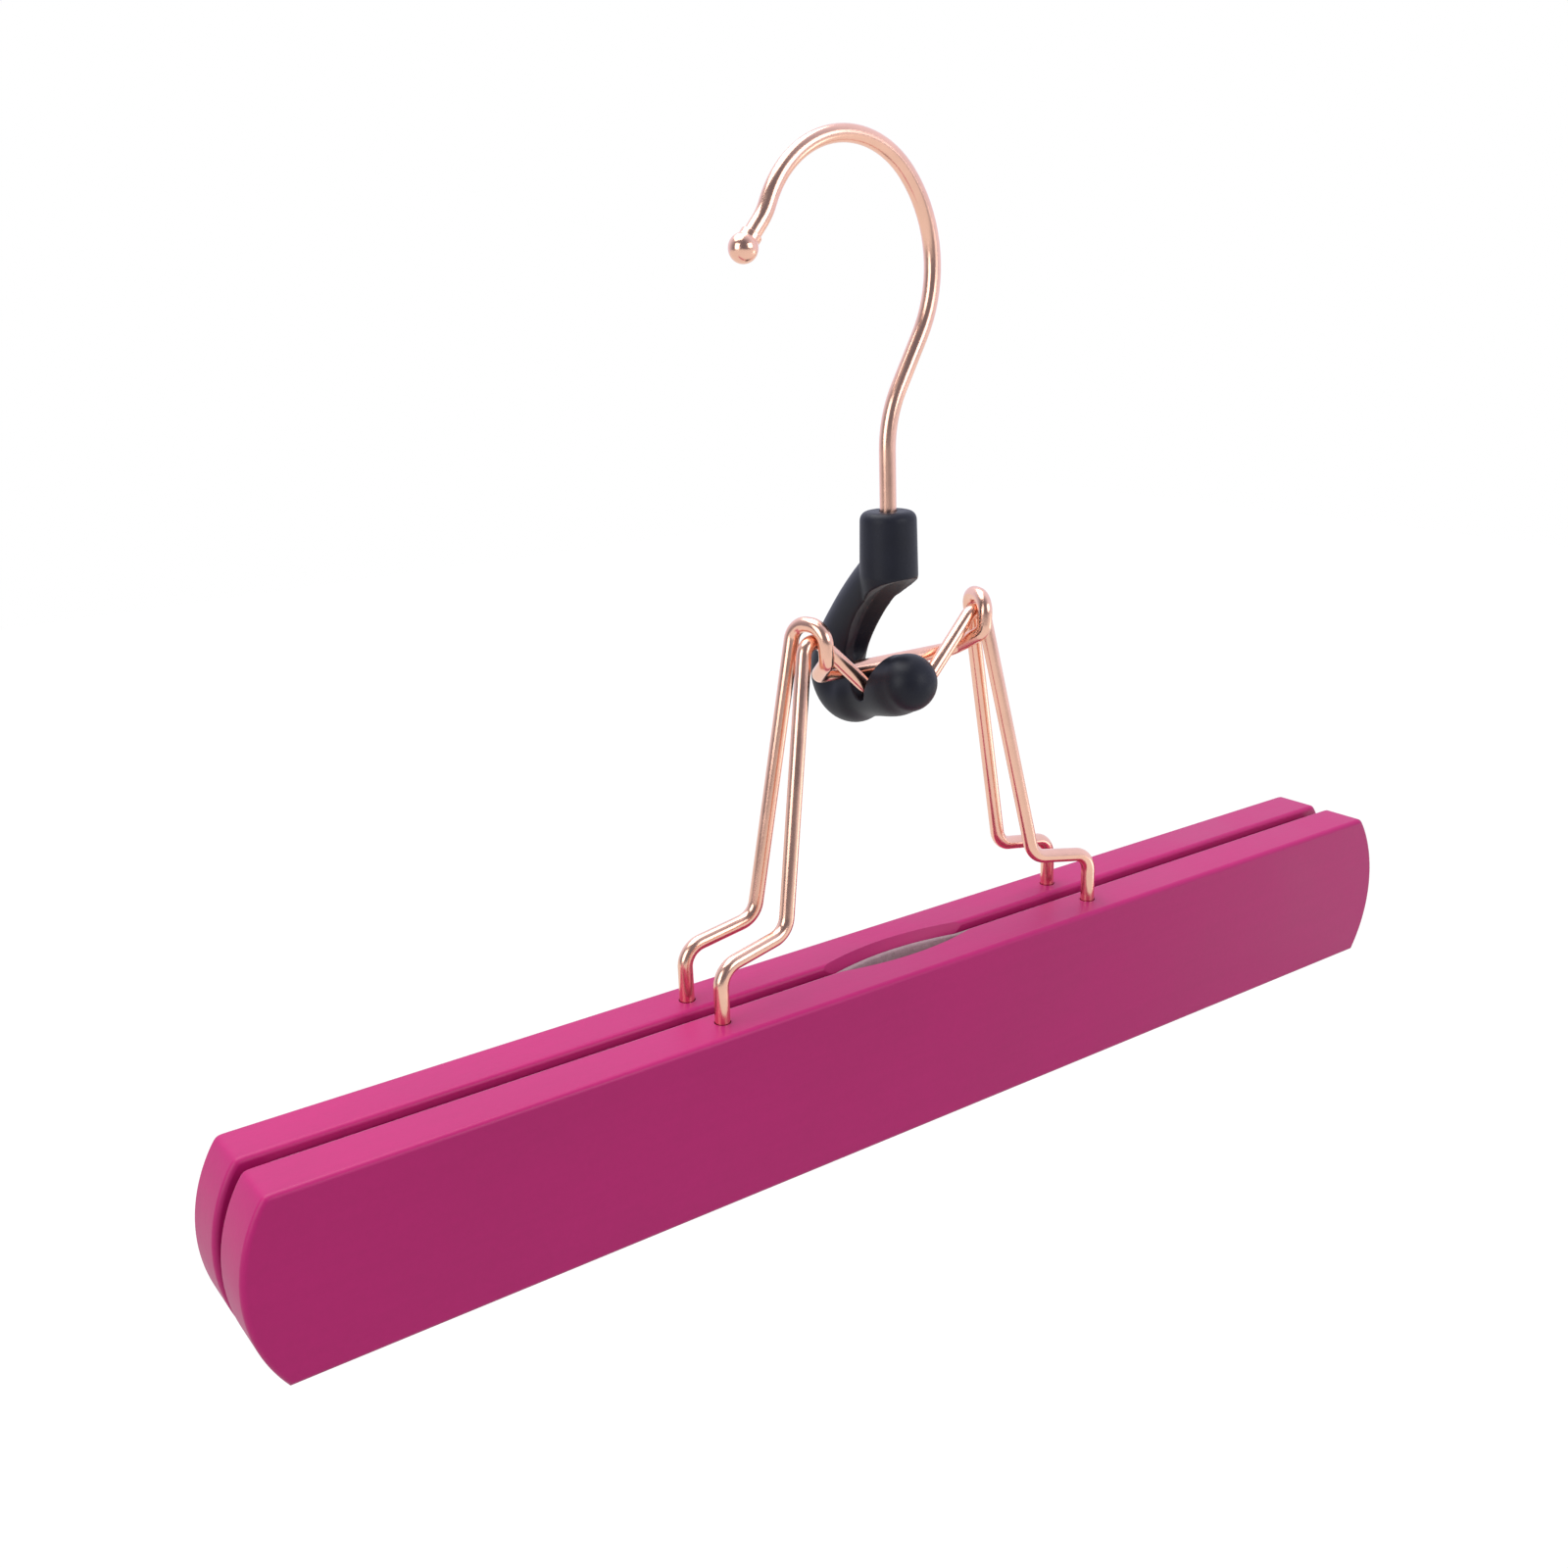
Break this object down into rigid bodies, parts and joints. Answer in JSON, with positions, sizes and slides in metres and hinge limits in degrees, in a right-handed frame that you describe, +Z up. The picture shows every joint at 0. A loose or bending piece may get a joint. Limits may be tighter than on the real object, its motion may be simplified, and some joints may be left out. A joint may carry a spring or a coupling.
{
  "type": "wooden_clamp_hanger",
  "caption": "Wooden trouser clamp hanger: a turning rose-gold wire hook, a black plastic latch, crossed wire bails and a pair of painted wooden bars lined with felt.",
  "frame": {"origin": "the point on the inside of the hook's top that bears on the rail, in the plane of the hook", "axes": "+X along the bars, +Y from the front bar to the rear bar, +Z up"},
  "size_m": [0.3193, 0.0369, 0.2152],
  "materials": {
    "hook_rose_gold": "polished",
    "tip_rose_gold": "polished",
    "washer_steel": "satin",
    "latch_plastic": "satin",
    "front_bail_rose_gold": "polished",
    "rear_bail_rose_gold": "polished",
    "front_bar_paint": "satin",
    "rear_bar_paint": "satin",
    "front_felt_grey": "matte",
    "rear_felt_grey": "matte"
  },
  "bodies": {
    "hook": {"hook_wire": "hook_rose_gold", "hook_tip_ball": "tip_rose_gold", "stem_washer": "washer_steel"},
    "latch": {"latch": "latch_plastic"},
    "rear_jaw": {"rear_bail": "rear_bail_rose_gold", "rear_bar": "rear_bar_paint", "rear_felt": "rear_felt_grey"},
    "front_jaw": {"front_bail": "front_bail_rose_gold", "front_bar": "front_bar_paint", "front_felt": "front_felt_grey"}
  },
  "joints": [
    {"name": "hook_swivel", "type": "hinge", "parent": "hook", "child": "latch", "pos_m": [0.00945, 0, -0.0713], "axis": [0, 0, 1], "continuous": true},
    {"name": "latch_lift", "type": "slide", "parent": "latch", "child": "rear_jaw", "axis": [0, 0, 1], "range_m": [0, 0.006]},
    {"name": "jaw_hinge", "type": "hinge", "parent": "rear_jaw", "child": "front_jaw", "pos_m": [0.01495, 0.0045, -0.0989], "axis": [-1, 0, 0], "range_deg": [0, 12]}
  ],
  "couplings": [
    {"joint": "jaw_hinge", "follows": "latch_lift", "rad_per_m": 34.907}
  ]
}
